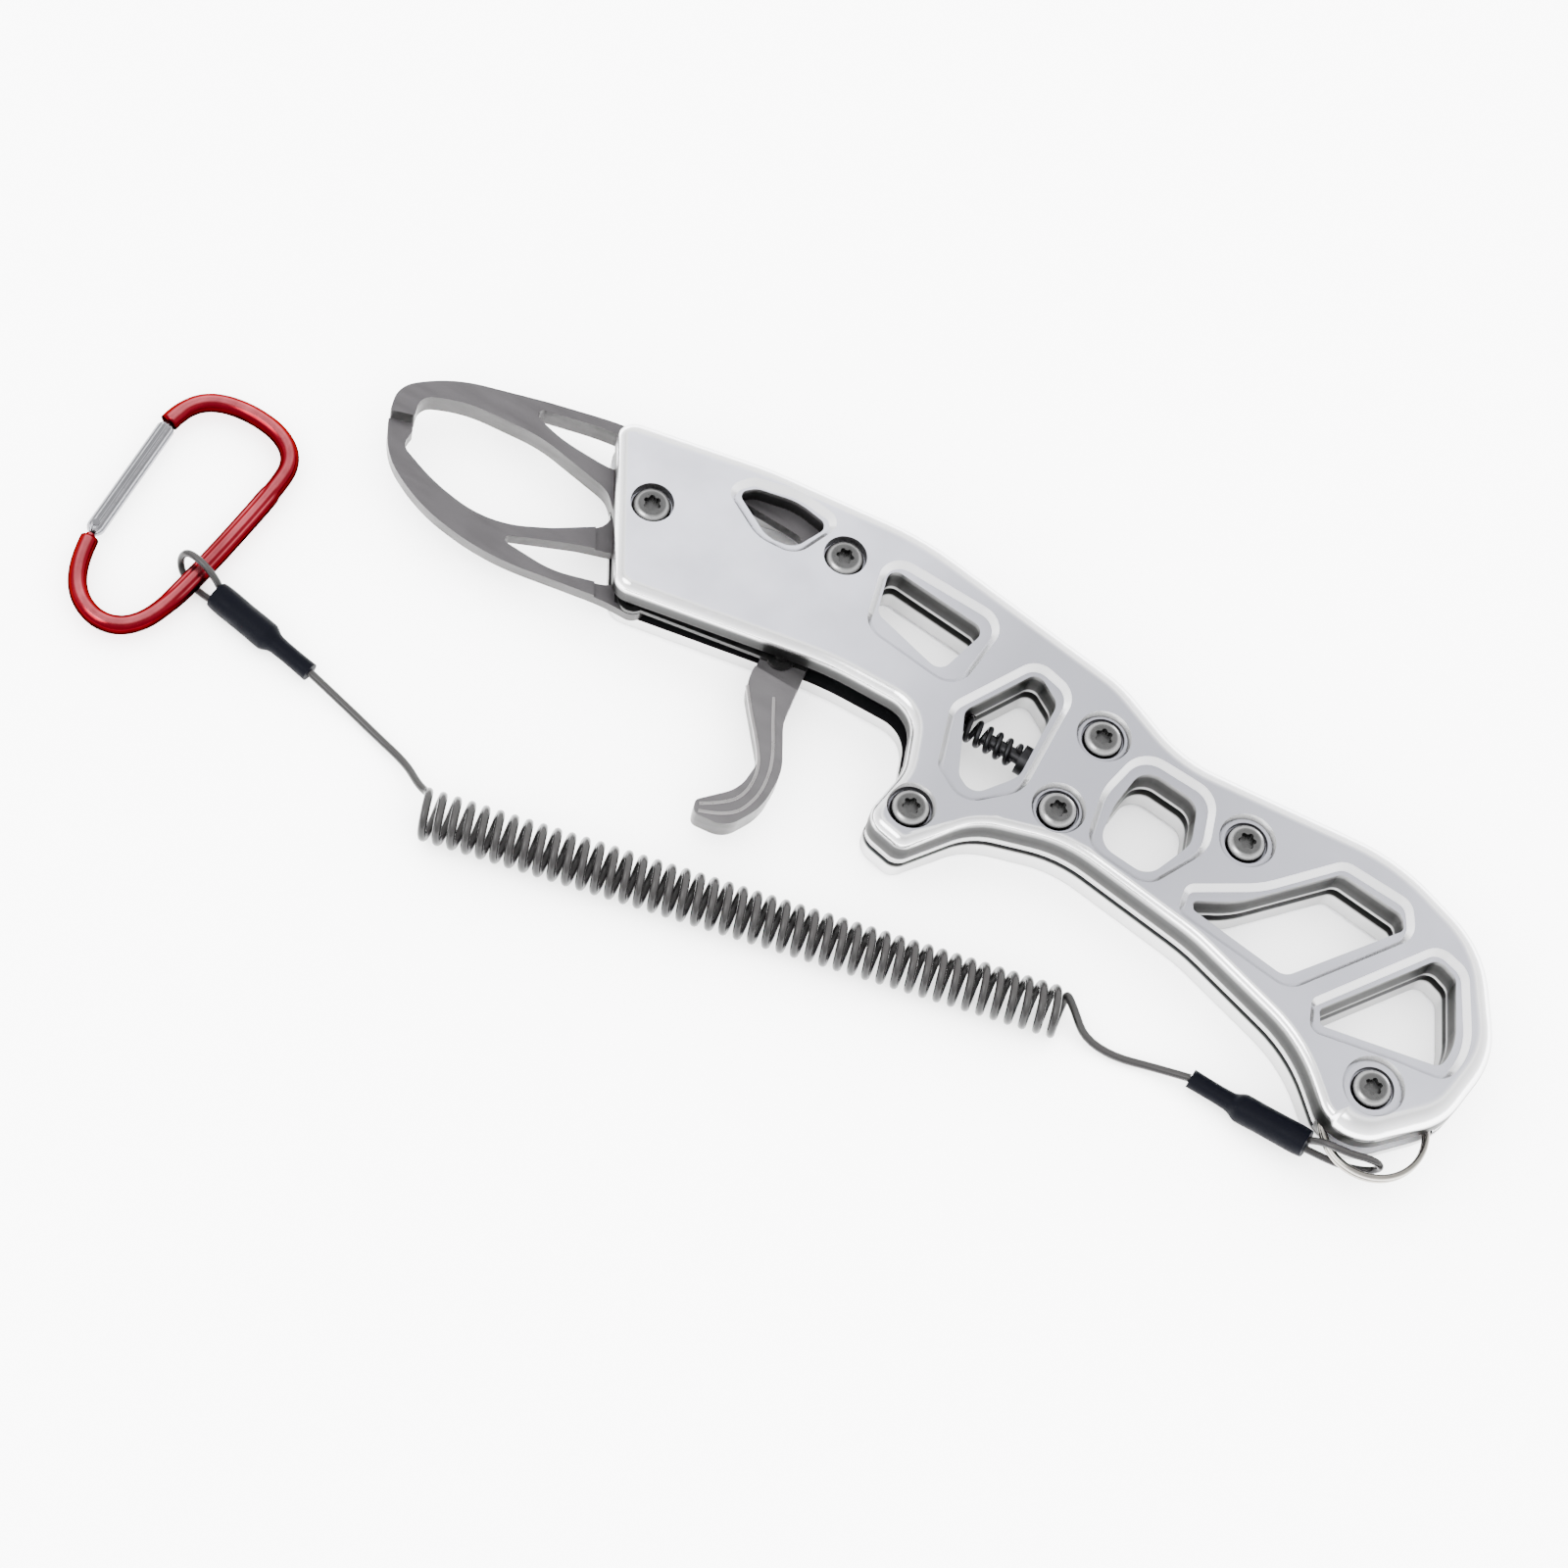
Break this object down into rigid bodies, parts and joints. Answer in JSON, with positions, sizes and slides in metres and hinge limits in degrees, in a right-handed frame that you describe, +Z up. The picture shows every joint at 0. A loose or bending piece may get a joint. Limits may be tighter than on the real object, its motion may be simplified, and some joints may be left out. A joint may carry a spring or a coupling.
{
  "type": "lip grip",
  "caption": "Pistol-shaped fish lip gripper with two curved jaws, a sprung trigger, a pierced metal handle and a coiled lanyard with a clip.",
  "frame": {"origin": "middle of the grip's footprint on the surface it lies on, lanyard not counted", "axes": "+X along the push rod from the jaws to the tail of the handle, +Y to the spine, away from the trigger, +Z up through the thickness, out of the front shell"},
  "size_m": [0.2761, 0.1036, 0.0156],
  "materials": {
    "shell_aluminium": "satin, with polished edges",
    "jaw_steel": "fine brushed, grey",
    "trigger_steel": "satin",
    "plain_steel": "turned",
    "screw_steel": "bright",
    "spring_steel": "black oxide",
    "ring_steel": "nickel plated",
    "cord_plastic": "clear smoky plastic over steel wire",
    "sleeve_plastic": "heat-shrink, near black",
    "clip_red": "red anodised, glossy",
    "gate_aluminium": "bare, fluted"
  },
  "bodies": {
    "grip": {"front_shell": "shell_aluminium", "back_shell": "shell_aluminium", "upper_jaw": "jaw_steel", "jaw_pivot_post": "plain_steel", "trigger_pivot_post": "plain_steel", "frame_posts": "plain_steel", "front_screws": "screw_steel", "back_screws": "screw_steel", "spring_seat": "plain_steel", "return_spring": "spring_steel", "split_ring": "ring_steel", "lanyard_coil": "cord_plastic", "front_lead": "cord_plastic", "rear_lead": "cord_plastic", "front_sleeve": "sleeve_plastic", "rear_sleeve": "sleeve_plastic", "front_eye": "cord_plastic", "rear_eye": "cord_plastic", "carabiner_frame": "clip_red", "gate_rivet": "gate_aluminium"},
    "lower_jaw": {"lower_jaw": "jaw_steel", "jaw_link_pin": "plain_steel"},
    "trigger": {"trigger": "trigger_steel", "trigger_link_pin": "plain_steel"},
    "link": {"link_bar": "plain_steel"},
    "rod": {"push_rod": "plain_steel"},
    "gate": {"carabiner_gate": "gate_aluminium"}
  },
  "joints": [
    {"name": "trigger_pull", "type": "hinge", "parent": "grip", "child": "trigger", "pos_m": [-0.03105, 0.0242, 0.0078], "axis": [0, 0, 1], "range_deg": [0, 18], "stiffness_Nm_per_rad": 0.25, "springref_deg": -5.73},
    {"name": "jaw_open", "type": "hinge", "parent": "grip", "child": "lower_jaw", "pos_m": [-0.06725, 0.0132, 0.0078], "axis": [0, 0, 1], "range_deg": [0, 24.61]},
    {"name": "link_swing", "type": "hinge", "parent": "trigger", "child": "link", "pos_m": [-0.03155, 0.0025, 0.0078], "axis": [0, 0, 1], "range_deg": [-24.06, 0]},
    {"name": "rod_slide", "type": "slide", "parent": "grip", "child": "rod", "axis": [1, 0, 0], "range_m": [0, 0.00514], "deforming": ["return_spring"]},
    {"name": "gate_open", "type": "hinge", "parent": "grip", "child": "gate", "pos_m": [-0.15325, -0.0443, 0.0035], "axis": [0, 0, -1], "range_deg": [0, 40], "stiffness_Nm_per_rad": 0.02, "springref_deg": -11.46}
  ],
  "couplings": [
    {"joint": "jaw_open", "follows": "trigger_pull", "ratio": 1.3618},
    {"joint": "link_swing", "follows": "trigger_pull", "ratio": -1.3312},
    {"joint": "rod_slide", "follows": "trigger_pull", "m_per_rad": 0.0162}
  ]
}
